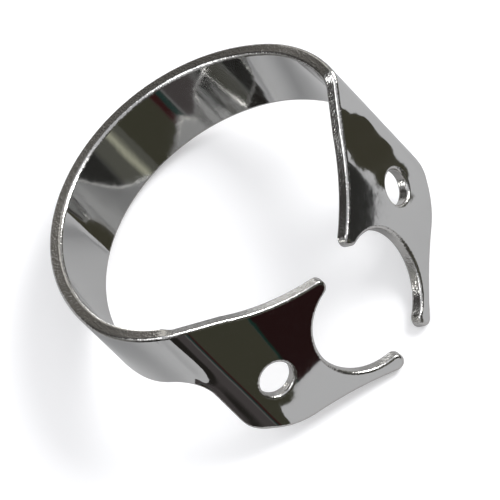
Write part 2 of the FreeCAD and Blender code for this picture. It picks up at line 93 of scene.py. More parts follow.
@dataclass(frozen=True)
class SheetProfile:
    """Half of the bent sheet seen from the front, from the top of the bow to the prongs."""

    thickness: float = 0.9
    bow_height: float = 18.55
    bow_half_width: float = 11.5
    side_radius: float = 7.7
    side_rise: float = 1.01
    bend_radius: float = 1.0
    jaw_slope: float = math.radians(19.7)
    jaw_length: float = 12.0

    @property
    def crown(self) -> float:
        """Height of the middle of the sheet at the top of the bow."""
        return self.bow_height - self.thickness / 2

    @property
    def side_x(self) -> float:
        """How far out the centre of the side arc lies."""
        return self.bow_half_width - self.thickness / 2 - self.side_radius

    @property
    def top_radius(self) -> float:
        """Radius of the arc over the top of the bow."""
        return self.side_radius + math.hypot(self.side_x, self.side_rise)

    def _bend_run(self) -> Triple:
        """Where the jaw starts along its slope, and the headings of the two joins above it.

        Returns:
            The jaw's run to the bend, the heading of the top join and that of the side join.
        """
        side_z = self.crown - self.top_radius + self.side_rise
        above = self.thickness / 2 + self.bend_radius
        sin, cos = math.sin(self.jaw_slope), math.cos(self.jaw_slope)
        across = side_z * cos - self.side_x * sin - above
        reach = math.sqrt((self.side_radius - self.bend_radius) ** 2 - across ** 2)
        run = self.side_x * cos + side_z * sin + reach
        bend = (run * cos - above * sin, run * sin + above * cos)
        first = math.atan2(self.side_rise, self.side_x)
        second = math.atan2(bend[1] - side_z, bend[0] - self.side_x)
        return run, first, second

    def stretches(self) -> list[Stretch]:
        """The arcs and the straight jaw in order.

        Returns:
            Top arc, side arc, bend and jaw.
        """
        _, first, second = self._bend_run()
        turns = (math.pi / 2 - first, first - second, second - self.jaw_slope + math.pi / 2)
        radii = (self.top_radius, self.side_radius, self.bend_radius)
        arcs = [Stretch(n, r * t, t) for n, r, t in zip(("Top", "Side", "Bend"), radii, turns)]
        return arcs + [Stretch("Jaw", self.jaw_length, 0.0)]

    def joins(self) -> list[float]:
        """Travel from the top of the bow at which each stretch ends."""
        return list(np.cumsum([stretch.length for stretch in self.stretches()]))

    def height(self, travel: np.ndarray) -> np.ndarray:
        """Height of the middle of the sheet.

        Args:
            travel: distances along the sheet from the top of the bow.

        Returns:
            One height for each distance.
        """
        heading = np.zeros_like(travel)
        level = np.full_like(travel, self.crown)
        start = 0.0
        for stretch in self.stretches():
            run = np.clip(travel - start, 0.0, stretch.length)
            turn = stretch.turn * run / stretch.length
            level += run * np.sinc(turn / 2 / math.pi) * np.sin(heading - turn / 2)
            heading -= turn
            start += stretch.length
        return level

    def travel_of(self, reach: np.ndarray) -> np.ndarray:
        """Travel of places that are given along the jaw, seen square to the jaw.

        Args:
            reach: distances along the jaw's slope from where the two jaws would meet.

        Returns:
            Distances along the sheet from the top of the bow.
        """
        run, _, _ = self._bend_run()
        bend_end = self.joins()[2]
        turn = self.stretches()[2].turn
        past = np.clip((reach - run) / self.bend_radius, 0.0, math.sin(turn))
        beyond = np.maximum(reach - run - self.bend_radius * math.sin(turn), 0.0)
        flat = bend_end + np.maximum(run - reach, 0.0)
        curled = bend_end - self.bend_radius * np.arcsin(past) - beyond / math.cos(turn)
        return np.where(reach < run, flat, curled)


def arc(centre: Pair, radius: float, start: float, end: float) -> np.ndarray:
    """Closely spaced points of an arc between two directions, clockwise where the end is less."""
    turn = np.linspace(start, end, max(LEAST_POINTS, int(abs(end - start) * radius / FINE_STEP)))
    return np.stack([centre[0] + radius * np.cos(turn), centre[1] + radius * np.sin(turn)], 1)


def ease(values: np.ndarray, start: float, end: float) -> np.ndarray:
    """Smooth step from 0 at start to 1 at end."""
    share = np.clip((values - start) / (end - start), 0.0, 1.0)
    return share * share * (3.0 - 2.0 * share)


def heading(start: Pair, end: Pair) -> float:
    """Direction from one point to another, in radians."""
    return math.atan2(end[1] - start[1], end[0] - start[0])


def moved(point: Pair, line: float, run: float, rise: float = 0.0) -> Pair:
    """A point moved by run in a direction and by rise to the left of it."""
    cos, sin = math.cos(line), math.sin(line)
    return point[0] + run * cos - rise * sin, point[1] + run * sin + rise * cos


def resample(path: np.ndarray, step: float) -> np.ndarray:
    """The same path with its points a step apart.

    Args:
        path: points of an open path.
        step: the distance wanted between points.

    Returns:
        The new points, with both ends kept.
    """
    gaps = np.hypot(*np.diff(path, axis=0).T)
    keep = np.concatenate([[True], gaps > SAME_PLACE])
    path = path[keep]
    along = np.concatenate([[0.0], np.cumsum(np.hypot(*np.diff(path, axis=0).T))])
    count = max(2, int(round(along[-1] / step)) + 1)
    even = np.linspace(0.0, along[-1], count)
    return np.stack([np.interp(even, along, path[:, 0]), np.interp(even, along, path[:, 1])], 1)


def left_of(path: np.ndarray, closed: bool) -> np.ndarray:
    """Unit vectors to the left of a path's travel.

    Args:
        path: points of the path.
        closed: whether the last point is followed by the first.

    Returns:
        One vector for each point.
    """
    if closed:
        run = np.roll(path, -1, axis=0) - np.roll(path, 1, axis=0)
    else:
        run = np.gradient(path, axis=0)
    run /= np.hypot(*run.T)[:, None]
    return np.stack([-run[:, 1], run[:, 0]], 1)


def round_corner(first: np.ndarray, second: np.ndarray, radius: float, side: int) -> np.ndarray:
    """Two crossing paths joined by a tangent arc.

    Args:
        first: the path that comes in.
        second: the path that goes on.
        radius: radius of the rounding.
        side: 1 where the arc's centre lies to the left of the travel, -1 to the right.

    Returns:
        The points of the joined path.
    """
    first, second = resample(first, FINE_STEP), resample(second, FINE_STEP)
    one = first + side * radius * left_of(first, False)
    two = second + side * radius * left_of(second, False)
    gap = np.hypot(one[:, None, 0] - two[None, :, 0], one[:, None, 1] - two[None, :, 1])
    i, j = np.unravel_index(np.argmin(gap), gap.shape)
    centre = tuple((one[i] + two[j]) / 2)
    start, end = heading(centre, first[i]), heading(centre, second[j])
    end = start + (end - start + math.pi) % FULL_TURN - math.pi
    return np.concatenate([first[:i], arc(centre, radius, start, end), second[j + 1:]])


def add_object(name: str, data: bpy.types.ID) -> bpy.types.Object:
    """Put an object into the scene.

    Args:
        name: its name.
        data: its mesh, lamp or camera.

    Returns:
        The object.
    """
    made = bpy.data.objects.new(name, data)
    bpy.context.scene.collection.objects.link(made)
    return made


@dataclass
class SheetMesh:
    """The blank's vertices with their normals, and its faces, as they are added."""

    vertices: list[np.ndarray] = field(default_factory=list)
    faces: list[Sequence[int]] = field(default_factory=list)
    finishes: list[int] = field(default_factory=list)

    def add_points(self, places: np.ndarray, level: float, slopes: np.ndarray, square: float
                   ) -> int:
        """Add vertices at one level.

        Args:
            places: where they lie on the blank.
            level: how high they lie.
            slopes: the parts of their normals along and across the sheet.
            square: the part of their normals square to the sheet.

        Returns:
            The index of the first one.
        """
        first, ones = sum(len(part) for part in self.vertices), np.ones(len(places))
        self.vertices.append(np.column_stack([places, level * ones, slopes, square * ones]))
        return first

    def add_face(self, corners: Sequence[int], finish: Face) -> None:
        """Add a face with its finish."""
        self.faces.append(corners)
        self.finishes.append(finish.value)

    def join(self, one: int, two: int, follow: list[int], finish: Face) -> None:
        """Add the faces between two sets of rings; follow gives the next vertex of each."""
        for i, k in enumerate(follow):
            self.add_face((one + i, two + i, two + k, one + k), finish)

    def build(self) -> bpy.types.Object:
        """Make the object, with its normals and finishes as attributes.

        Returns:
            The blank.
        """
        mesh, vertices = bpy.data.meshes.new("clamp_blank"), np.concatenate(self.vertices)
        mesh.from_pydata([tuple(p) for p in vertices[:, :3]], [], self.faces)
        store = mesh.attributes.new("blank_normal", "FLOAT_VECTOR", "POINT")
        store.data.foreach_set("vector", vertices[:, 3:].astype(np.float32).ravel())
        rim = mesh.attributes.new("rim", "BOOLEAN", "FACE")
        rim.data.foreach_set("value", np.array(self.finishes, bool))
        return add_object("clamp_blank", mesh)


@dataclass(frozen=True)
class PressedFace:
    """How pressing and bending left the outer face a little dished.

    A pair says where a zone sets in or fades out: across the sheet where its name ends in
    wide, otherwise along it. A slope is that of the face's normal.
    """

    jaw_in: Pair = (21.0, 22.2)
    bow_out: Pair = (12.0, 16.0)
    crown_in: Pair = (-4.9, -3.9)
    crown_slope: float = 0.20
    right_in: Pair = (6.0, 7.5)
    right_slope: float = 0.10
    bend_in: Pair = (18.5, 20.0)
    bend_set: Pair = (19.5, 20.3)
    bend_out: Pair = (21.4, 22.4)
    bend_skew: float = 0.12
    bend_wide: Pair = (-7.0, 1.0)
    bend_slope: float = 0.16
    soft_in: Pair = (19.9, 20.5)
    soft_out: Pair = (20.7, 22.1)
    soft_slope: float = 0.45
    hole_wide: Pair = (-8.5, -6.0)
    hole_in: Pair = (21.9, 22.5)
    hole_out: Pair = (23.8, 24.7)
    hole_wave: Triple = (0.22, 2.6, 1.7)
    hole_slope: float = 0.11
    notch_skew: Pair = (0.1, 7.0)
    notch_in: Pair = (24.3, 25.3)
    notch_slope: float = 0.14
    mesial_wide: Pair = (-1.9, 1.0)
    mesial_in: Pair = (22.4, 24.6)
    belly_centre: Pair = (24.96, -2.68)
    belly_ring: Pair = (3.2, 4.6)
    belly_wide: Pair = (-4.0, -1.5)
    rim_slope: float = 0.10
    ear_end: float = 20.94
    ear_wide: Pair = (-6.5, -4.5)
    ear_in: Pair = (19.2, 19.9)
    ear_slope: float = 0.8

    def slopes(self, places: np.ndarray) -> np.ndarray:
        """How the outer face tilts.

        Args:
            places: places on the blank.

        Returns:
            Slopes along and across the sheet, one pair for each place.
        """
        place, wide = places[:, 0], places[:, 1]
        travel, right = np.abs(place), place > 0.0
        on_jaw = ease(travel, *self.jaw_in)
        on_bow = 1.0 - ease(travel, *self.bow_out)
        skewed = travel + self.bend_skew * np.clip(wide, *self.bend_wide)
        by_bend = ease(skewed, *self.bend_set)
        by_bend *= ease(travel, *self.bend_in) * (1.0 - ease(travel, *self.bend_out))
        soft_bend = ease(travel, *self.soft_in) * (1.0 - ease(travel, *self.soft_out))
        by_hole = ease(travel + ease(wide, *self.hole_wide), *self.hole_in)
        by_hole *= 1.0 - ease(travel, *self.hole_out)
        depth, cross, run = self.hole_wave
        by_hole *= 1.0 + depth * np.sin(cross * wide + run * travel)
        skew, offset = self.notch_skew
        by_notch = ease(travel + skew * (wide + offset), *self.notch_in)
        from_belly = np.hypot(self.belly_centre[0] - travel, wide - self.belly_centre[1])
        on_mesial = ease(wide, *self.mesial_wide) * ease(travel, *self.mesial_in)
        on_belly = ease(from_belly, *self.belly_ring) * ease(wide, *self.belly_wide)
        by_rim = 1.0 - (1.0 - on_mesial) * (1.0 - on_belly)
        flat_ear = np.clip(self.ear_end - travel, 0.0, 1.0) * ease(wide, *self.ear_wide)
        flat_ear *= ease(travel, *self.ear_in)
        along = self.notch_slope * by_notch * on_jaw
        along += np.where(right, 0.0, self.ear_slope * flat_ear - self.soft_slope * soft_bend)
        across = on_jaw * self.rim_slope * by_rim - np.where(
            right, self.hole_slope * by_hole, self.bend_slope * by_bend)
        across += on_bow * (self.crown_slope * ease(place, *self.crown_in)
                            + self.right_slope * ease(place, *self.right_in))
        return np.stack([np.sign(place) * along, across], 1)


@dataclass
class ClampBlank:
    """The flat, stamped blank of the clamp, with polished rims."""

    profile: SheetProfile = field(default_factory=SheetProfile)
    pressed: PressedFace = field(default_factory=PressedFace)
    rim_radius: float = 0.22
    rim_steps: int = 6
    rim_twist: float = 0.013
    bow_strip_width: float = 4.96
    bow_lean: float = math.radians(11.7)
    bow_distal_reach: float = 13.06
    leg_top: float = 7.0
    leg_blend_radius: float = 14.0
    leg_blend: Pair = (12.0, 17.0)
    leg_widening: float = 0.2
    ear_travel: float = 19.98
    ear_span: Pair = (2.0, -9.0)
    ear_root_radius: float = 1.8
    ear_corner_radius: float = 2.0
    shoulder_radius: float = 1.6
    distal_edge_angle: float = math.radians(40.5)
    distal_edge_reach: float = 9.1
    distal_edge_offset: float = 8.9
    distal_edge_radius: float = 15.0
    distal_edge_run: float = 9.0
    mesial_edge_radius: float = 26.0
    belly_radius: float = 5.32
    belly_reach: float = 6.4
    belly_offset: float = 2.68
    notch_radius: float = 3.7
    notch_reach: float = 1.35
    prong_reach: float = 1.4
    distal_prong_short: float = 0.25
    prong_tip_radius: float = 0.56
    hole_radius: float = 1.16
    hole_reach: float = 8.07
    hole_offset: float = 1.7
    step: float = 0.11
    face_margin: float = 0.09
    face_fade: int = 5
    edge_points: int = 1500
    edge_overrun: Pair = (0.5, 2.5)
    column_steps: Triple = (0.4, 0.09, 0.5)
    column_margins: Triple = (0.3, 0.2, 0.3)
    row_step: float = 0.42
    face_end: Pair = (10.0, 6.0)
    clearance: float = 0.16

    def distal_edge(self, travel: np.ndarray) -> np.ndarray:
        """Where the distal rim of the leaning bow lies across the sheet."""
        drop = (self.profile.bow_height - self.profile.height(travel)) * math.tan(self.bow_lean)
        return drop - self.bow_distal_reach

    def mesial_edge(self, travel: np.ndarray) -> np.ndarray:
        """Where the mesial rim of bow and leg lies.

        Args:
            travel: distances along the sheet from the top of the bow.

        Returns:
            The rim's place across the sheet, blended into the straight rim of the leg.
        """
        tangent = math.tan(self.bow_lean)
        corner = self.leg_top + self.leg_blend_radius * math.tan(self.bow_lean / 2)
        leg = (self.profile.bow_height - corner) * tangent
        leg += self.bow_strip_width - self.bow_distal_reach
        height = self.profile.height(travel)
        rise = np.clip(height - self.leg_top, 0.0, self.leg_blend_radius * math.sin(self.bow_lean))
        curve = leg - self.leg_blend_radius + np.sqrt(self.leg_blend_radius ** 2 - rise ** 2)
        blend_end = self.leg_top + self.leg_blend_radius * math.sin(self.bow_lean)
        line = self.distal_edge(travel) + self.bow_strip_width
        widened = self.leg_widening * ease(travel, *self.leg_blend)
        return np.where(height > blend_end, line, curve) + widened

    def jaw_path(self) -> np.ndarray:
        """Outline of the jaw from its shoulder round both prongs to its ear.

        Returns:
            Points along the jaw's slope and across it.
        """
        tip_r = self.prong_tip_radius
        notch = (self.notch_reach, 0.0)
        distal_tip = self._tip(self.prong_reach + self.distal_prong_short + tip_r, -1)
        mesial_tip = self._tip(self.prong_reach + tip_r, 1)
        belly = (self.belly_reach, -self.belly_offset)
        mesial = self._mesial_centre(mesial_tip, belly)
        slant = -self.distal_edge_angle
        distal = self._distal_centre(distal_tip, slant)
        start = moved(distal, slant, 0.0, self.distal_edge_radius)
        return np.concatenate([
            np.array([moved(start, slant, self.distal_edge_run), start]),
            arc(distal, self.distal_edge_radius, slant + math.pi / 2, heading(distal, distal_tip)),
            self._round_tip(distal_tip, distal, notch),
            arc(notch, self.notch_radius, heading(notch, distal_tip), heading(notch, mesial_tip)),
            self._round_tip(mesial_tip, notch, mesial),
            arc(mesial, self.mesial_edge_radius, heading(mesial, mesial_tip),
                heading(mesial, belly)),
            arc(belly, self.belly_radius, heading(belly, mesial), 0.0),
        ])

    def _round_tip(self, tip: Pair, before: Pair, after: Pair) -> np.ndarray:
        """Points of a prong's tip, clockwise from the arc before it to the arc after it."""
        start, end = heading(tip, before) % FULL_TURN, heading(tip, after) % FULL_TURN
        return arc(tip, self.prong_tip_radius, start, end - (FULL_TURN if end > start else 0))

    def _tip(self, reach: float, side: int) -> Pair:
        """Centre of a prong's tip, which touches the notch; side is 1 for the mesial prong."""
        spread = (self.notch_radius + self.prong_tip_radius) ** 2
        return reach, side * math.sqrt(spread - (reach - self.notch_reach) ** 2)

    def _mesial_centre(self, tip: Pair, belly: Pair) -> Pair:
        """Centre of the mesial rim's arc, which touches a prong tip and the belly.

        Args:
            tip: centre of the mesial prong's tip.
            belly: centre of the belly's arc.

        Returns:
            The centre, on the far side of the rim.
        """
        one = self.mesial_edge_radius + self.prong_tip_radius
        two = self.mesial_edge_radius + self.belly_radius
        gap = math.dist(tip, belly)
        run = (one ** 2 - two ** 2 + gap ** 2) / (2 * gap)
        return moved(tip, heading(tip, belly), run, math.sqrt(one ** 2 - run ** 2))

    def _distal_centre(self, tip: Pair, slant: float) -> Pair:
        """Centre of the distal rim's arc, which touches a prong tip and the slanting rim.

        Args:
            tip: centre of the distal prong's tip.
            slant: direction of the slanting rim.

        Returns:
            The centre, outside the jaw.
        """
        corner = (self.distal_edge_reach, -self.distal_edge_offset)
        off = moved(corner, slant, 0.0, -self.distal_edge_radius)
        gap = (tip[0] - off[0], tip[1] - off[1])
        run = gap[0] * math.cos(slant) + gap[1] * math.sin(slant)
        across = gap[1] * math.cos(slant) - gap[0] * math.sin(slant)
        run += math.sqrt((self.distal_edge_radius + self.prong_tip_radius) ** 2 - across ** 2)
        return moved(off, slant, run)

    def half_path(self) -> np.ndarray:
        """Outline of one half of the blank, from the bow's distal rim round to its mesial rim.

        Returns:
            Points as travel along the sheet and place across it.
        """
        jaw = self.jaw_path()
        jaw = np.stack([self.profile.travel_of(jaw[:, 0]), jaw[:, 1]], 1)
        past_bend, past_ear = self.edge_overrun
        down = np.linspace(0.0, self.profile.joins()[2] + past_bend, self.edge_points)
        distal = np.stack([down, self.distal_edge(down)], 1)
        path = round_corner(distal, jaw, self.shoulder_radius, 1)
        ear = np.array([[self.ear_travel, place] for place in self.ear_span])
        path = round_corner(path, ear, self.ear_corner_radius, 1)
        up = down[::-1][down[::-1] < self.ear_travel + past_ear]
        mesial = np.stack([up, self.mesial_edge(up)], 1)
        path = round_corner(path, mesial, self.ear_root_radius, -1)
        return resample(path, self.step)

    def loops(self) -> list[np.ndarray]:
        """The closed outlines of the blank: the outer one, and the two forceps holes.

        Returns:
            Loops that keep the sheet on their left.
        """
        half = self.half_path()
        other = half[1:-1][::-1] * np.array([-1.0, 1.0])
        reach = self.profile.travel_of(np.array([self.hole_reach]))[0]
        count = int(FULL_TURN * self.hole_radius / self.step)
        turn = -np.linspace(0.0, FULL_TURN, count, endpoint=False)
        ring = np.stack([np.cos(turn), np.sin(turn)], 1) * self.hole_radius
        holes = [ring + np.array([side * reach, -self.hole_offset]) for side in (1, -1)]
        return [np.concatenate([half, other])] + holes

    def section(self) -> list[Triple]:
        """Cross-section of a rim, from one face of the sheet round to the other.

        Returns:
            How far in each ring lies, how high, and how its normal tilts, in radians.
        """
        half = self.profile.thickness / 2
        tilts = np.linspace(math.pi / 2, 0.0, self.rim_steps)
        upper = [(self.rim_radius * (1 - math.cos(a)),
                  half - self.rim_radius * (1 - math.sin(a)), a) for a in tilts]
        upper.insert(0, (self.rim_radius + self.face_margin, half, math.pi / 2))
        return upper + [(inset, -level, -tilt) for inset, level, tilt in reversed(upper)]

    def inner_points(self, edge: np.ndarray, follow: list[int]) -> np.ndarray:
        """Points inside the flat of the sheet, closer together where it will bend.

        Args:
            edge: points of the closed loops round the flat.
            follow: the index of the point that follows each of them.

        Returns:
            The points, none of them close to the loops.
        """
        _, side_end, bend_end, _ = self.profile.joins()
        before, past, after = self.column_margins
        starts = (0.0, side_end - before, bend_end + after)
        ends = (side_end - before, bend_end + past, bend_end + self.face_end[0])
        half = np.concatenate([np.arange(*span) for span in zip(starts, ends, self.column_steps)])
        columns = np.concatenate([-half[:0:-1], half])
        rows = np.arange(-self.bow_distal_reach, self.face_end[1], self.row_step)
        grid = np.stack(np.meshgrid(columns, rows), -1).reshape(-1, 2)
        grid = grid[self._inside(grid, edge, follow)]
        gaps = np.array([np.hypot(*(edge - point).T).min() for point in grid])
        return grid[gaps > self.clearance]

    def flat_faces(self, edge: np.ndarray, follow: list[int]) -> tuple[np.ndarray, np.ndarray]:
        """Triangles that fill the flat of the sheet.

        Args:
            edge: points of the closed loops round the flat.
            follow: the index of the point that follows each of them.

        Returns:
            The points, those of the loops first, and the triangles.
        """
        points = [Vector(p) for p in (*edge, *self.inner_points(edge, follow))]
        made = delaunay_2d_cdt(points, list(enumerate(follow)), [], 0, MERGE_DISTANCE)
        corners = np.array([tuple(v) for v in made[0]])
        faces = np.array([f for f in made[2] if len(f) == 3])
        return corners, faces[self._inside(corners[faces].mean(axis=1), edge, follow)]

    @staticmethod
    def _inside(places: np.ndarray, edge: np.ndarray, follow: list[int]) -> np.ndarray:
        """Whether each place lies within the sheet, so inside an odd number of its loops.

        Args:
            places: points to test.
            edge: points of the closed loops.
            follow: the index of the point that follows each of them.

        Returns:
            One truth value for each place.
        """
        x, y = places.T
        odd = np.zeros(len(places), bool)
        for (x0, y0), (x1, y1) in zip(edge, edge[follow]):
            if y1 != y0:
                odd ^= ((y0 > y) != (y1 > y)) & (x < (x1 - x0) * (y - y0) / (y1 - y0) + x0)
        return odd

    def build(self) -> bpy.types.Object:
        """Make the flat blank as an object, with the direction of each vertex's normal.

        Returns:
            The blank: travel along X, across along Y and the outer face upwards.
        """
        loops = self.loops()
        edge, left = np.concatenate(loops), np.concatenate([left_of(p, True) for p in loops])
        order = np.arange(len(edge))
        parts = np.split(order, np.cumsum([len(loop) for loop in loops[:-1]]))
        follow = np.concatenate([np.roll(part, -1) for part in parts]).tolist()
        made, section = SheetMesh(), self.section()
        starts = [self._add_ring(made, edge, left, ring) for ring in section]
        for band, (one, two) in enumerate(zip(starts, starts[1:])):
            on_face = band in (0, len(section) - 2)
            made.join(one, two, follow, Face.SHEET if on_face else Face.RIM)
        corners, triangles = self.flat_faces(edge + left * section[0][0], follow)
        inner = corners[len(edge):]
        for ring, way in ((0, 1), (-1, -1)):
            slopes = self.pressed.slopes(inner) * way
            base = made.add_points(inner, section[ring][1], slopes, float(way))
            index = np.concatenate([starts[ring] + order, base + np.arange(len(inner))])
            for face in index[triangles].tolist():
                made.add_face(face[::way], Face.SHEET)
        return made.build()

    def _add_ring(self, made: SheetMesh, edge: np.ndarray, left: np.ndarray, ring: Triple
                  ) -> int:
        """Add the vertices of one ring of each rim.

        Args:
            made: the mesh to add to.
            edge: points of the outlines.
            left: unit vectors into the sheet there.
            ring: its inset, its level and the tilt of its normals.

        Returns:
            The index of the first vertex.
        """
        inset, level, tilt = ring
        flat = edge + left * inset
        slopes = self.pressed.slopes(flat) * math.sin(tilt) ** self.face_fade
        slopes[:, 0] -= self.rim_twist * flat[:, 0] * math.cos(tilt) * (
            1.0 - ease(np.abs(flat[:, 0]), *self.leg_blend))
        return made.add_points(flat, level, slopes - left * math.cos(tilt), math.sin(tilt))


class TreeMaker:
    """Adds nodes to a node tree and links them."""

    def __init__(self, tree: Tree) -> None:
        """Keep the tree."""
        self.tree = tree

    @classmethod
    def group(cls, name: str, kind: str, come: dict[str, str], go: dict[str, str]
              ) -> "TreeMaker":
        """Start a node group.

        Args:
            name: the group's name.
            kind: the type of its tree.
            come: the socket type of each input, by name.
            go: the same for its outputs.

        Returns:
            A maker for the group's tree.
        """
        made = cls(bpy.data.node_groups.new(name, kind))
        for way, sockets in (("INPUT", come), ("OUTPUT", go)):
            for socket, sort in sockets.items():
                made.tree.interface.new_socket(name=socket, in_out=way, socket_type=sort)
        return made

    def node(self, kind: str, *links: object, fed: dict[str, object] | None = None,
             **settings: object) -> bpy.types.Node:
        """Add a node.

        Args:
            kind: the node's type name.
            links: what feeds its first inputs in order: a socket or a value.
            fed: what feeds further inputs, by name.
            settings: properties of the node.

        Returns:
            The node.
        """
        made = self.tree.nodes.new(kind)
        for name, value in settings.items():
            setattr(made, name, value)
        for socket, source in zip(made.inputs, links):
            self.feed(socket, source)
        for name, source in (fed or {}).items():
            self.feed(made.inputs[name], source)
        return made

    def feed(self, socket: Socket, source: object) -> None:
        """Link a socket to another, or give it a value.

        Args:
            socket: the input to feed.
            source: another node's socket, or a value.
        """
        if isinstance(source, Socket):
            self.tree.links.new(source, socket)
        else:
            socket.default_value = source

    def math(self, operation: str, *values: object) -> Socket:
        """Add a Math node and return what it puts out."""
        return self.node("ShaderNodeMath", *values, operation=operation).outputs[0]


def new_material(name: str) -> tuple[bpy.types.Material, TreeMaker]:
    """Make a material that uses nodes.

    Args:
        name: its name.

    Returns:
        The material, and a maker for its tree.
    """
    made = bpy.data.materials.new(name)
    made.use_nodes = True
    return made, TreeMaker(made.node_tree)


@dataclass
class BentClamp:
    """The clamp: its blank, bent round the profile and laid down as it comes to rest."""

    blank: ClampBlank = field(default_factory=ClampBlank)
    lie_turn: float = math.radians(232.97)
    lie_shift: Triple = (0.0, -10.1447, 4.6494)

    @staticmethod
    def stretch_group() -> Tree:
        """Node group that carries a place and a heading along one stretch.

        Returns:
            The group.
        """
        names = ("Travel", "Start", "Length", "Turn", "Across", "Up", "Heading")
        ends = ("End", "Across", "Up", "Heading")
        make = TreeMaker.group("Bend Stretch", "GeometryNodeTree", dict.fromkeys(names, NUMBER),
                               dict.fromkeys(ends, NUMBER))
        travel, start, length, turn, across, up, facing = make.node("NodeGroupInput").outputs[:7]
        past = make.math("MAXIMUM", make.math("SUBTRACT", travel, start), 0.0)
        run = make.math("MINIMUM", past, length)
        turned = make.math("DIVIDE", make.math("MULTIPLY", turn, run), length)
        half = make.math("MAXIMUM", make.math("MULTIPLY", turned, 0.5), LEAST_TURN)
        chord = make.math("MULTIPLY", run, make.math("DIVIDE", make.math("SINE", half), half))
        middle = make.math("SUBTRACT", facing, half)
        make.node("NodeGroupOutput", make.math("ADD", start, length),
                  make.math("MULTIPLY_ADD", chord, make.math("COSINE", middle), across),
                  make.math("MULTIPLY_ADD", chord, make.math("SINE", middle), up),
                  make.math("SUBTRACT", facing, turned))
        return make.tree

    def numbers(self) -> dict[str, float]:
        """The numbers that the node tree takes.

        Returns:
            The value of each input, by name.
        """
        given = {"Crown": self.blank.profile.crown, "Lie Turn": self.lie_turn,
                 "Rim Lean": math.tan(self.blank.bow_lean)}
        for stretch in self.blank.profile.stretches():
            given[f"{stretch.name} Length"] = stretch.length
            given[f"{stretch.name} Turn"] = stretch.turn
        return given

    def bend_tree(self) -> Tree:
        """Node tree that bends a blank round the profile and lays it down.

        Returns:
            The tree.
        """
        come = {"Blank": GEOMETRY, **dict.fromkeys(self.numbers(), NUMBER), "Lie Shift": VECTOR,
                "Sheet Steel": MATERIAL, "Rim Steel": MATERIAL}
        make = TreeMaker.group("Bend Clamp", "GeometryNodeTree", come, {"Clamp": GEOMETRY})
        come = make.node("NodeGroupInput").outputs
        travel, wide, level = make.node(
            "ShaderNodeSeparateXYZ", make.node("GeometryNodeInputPosition").outputs[0]).outputs
        side, far = make.math("SIGN", travel), make.math("ABSOLUTE", travel)
        group = self.stretch_group()
        state = [0.0, 0.0, come["Crown"], 0.0]
        for stretch in self.blank.profile.stretches():
            state = list(make.node(
                "GeometryNodeGroup", far, state[0], come[f"{stretch.name} Length"],
                come[f"{stretch.name} Turn"], *state[1:], node_tree=group).outputs)
        _, across, up, facing = state
        sine, cosine = make.math("SINE", facing), make.math("COSINE", facing)
        out = make.math("SUBTRACT", across, make.math("MULTIPLY", sine, level))
        lean = make.math("MULTIPLY", make.math("MAXIMUM", cosine, 0.0), come["Rim Lean"])
        leaned = make.math("SUBTRACT", wide, make.math("MULTIPLY", lean, level))
        place = make.node("ShaderNodeCombineXYZ", make.math("MULTIPLY", side, out), leaned,
                          make.math("MULTIPLY_ADD", cosine, level, up)).outputs[0]
        normal = self._bent_normal(make, side, (sine, cosine), lean)
        laid = make.node("ShaderNodeVectorMath", self._laid(make, place, come["Lie Turn"]),
                         come["Lie Shift"], operation="ADD").outputs[0]
        metres = make.node("ShaderNodeVectorMath", laid, fed={"Scale": MM}, operation="SCALE")
        turned = self._laid(make, normal, come["Lie Turn"])
        stored = make.node("GeometryNodeStoreNamedAttribute", come["Blank"], domain="POINT",
                           data_type="FLOAT_VECTOR", fed={"Name": "bent_normal", "Value": turned})
        bent = make.node("GeometryNodeSetPosition", stored.outputs[0],
                         fed={"Position": metres.outputs[0]})
        real = make.node("GeometryNodeRealizeInstances", bent.outputs[0])
        sheet = make.node("GeometryNodeSetMaterial", real.outputs[0],
                          fed={"Material": come["Sheet Steel"]})
        picked = make.node("GeometryNodeInputNamedAttribute", "rim", data_type="BOOLEAN")
        rims = make.node("GeometryNodeSetMaterial", sheet.outputs[0], picked.outputs[0],
                         fed={"Material": come["Rim Steel"]})
        make.node("NodeGroupOutput", rims.outputs[0])
        return make.tree

    @staticmethod
    def _bent_normal(make: TreeMaker, side: Socket, facing: tuple[Socket, Socket], lean: Socket
                     ) -> Socket:
        """Turn the blank's stored normals with the sheet.

        Args:
            make: the tree's maker.
            side: which half a vertex lies in.
            facing: sine and cosine of the heading there.
            lean: how far the rims lean there.

        Returns:
            The turned normal.
        """
        sine, cosine = facing
        flat = make.node("GeometryNodeInputNamedAttribute", "blank_normal",
                         data_type="FLOAT_VECTOR")
        along, wide, square = make.node("ShaderNodeSeparateXYZ", flat.outputs[0]).outputs
        out = make.math("MULTIPLY_ADD", lean, wide, square)
        sided = make.math("MULTIPLY", side, sine)
        across = make.math("SUBTRACT", make.math("MULTIPLY", cosine, along),
                           make.math("MULTIPLY", sided, out))
        up = make.math("MULTIPLY_ADD", sided, along, make.math("MULTIPLY", cosine, out))
        return make.node("ShaderNodeCombineXYZ", across, wide, up).outputs[0]

    @staticmethod
    def _laid(make: TreeMaker, vector: Socket, turn: Socket) -> Socket:
        """Turn a vector about X, as the clamp is turned over to lie down."""
        return make.node("ShaderNodeVectorRotate", vector, fed={"Angle": turn},
                         rotation_type="X_AXIS").outputs[0]

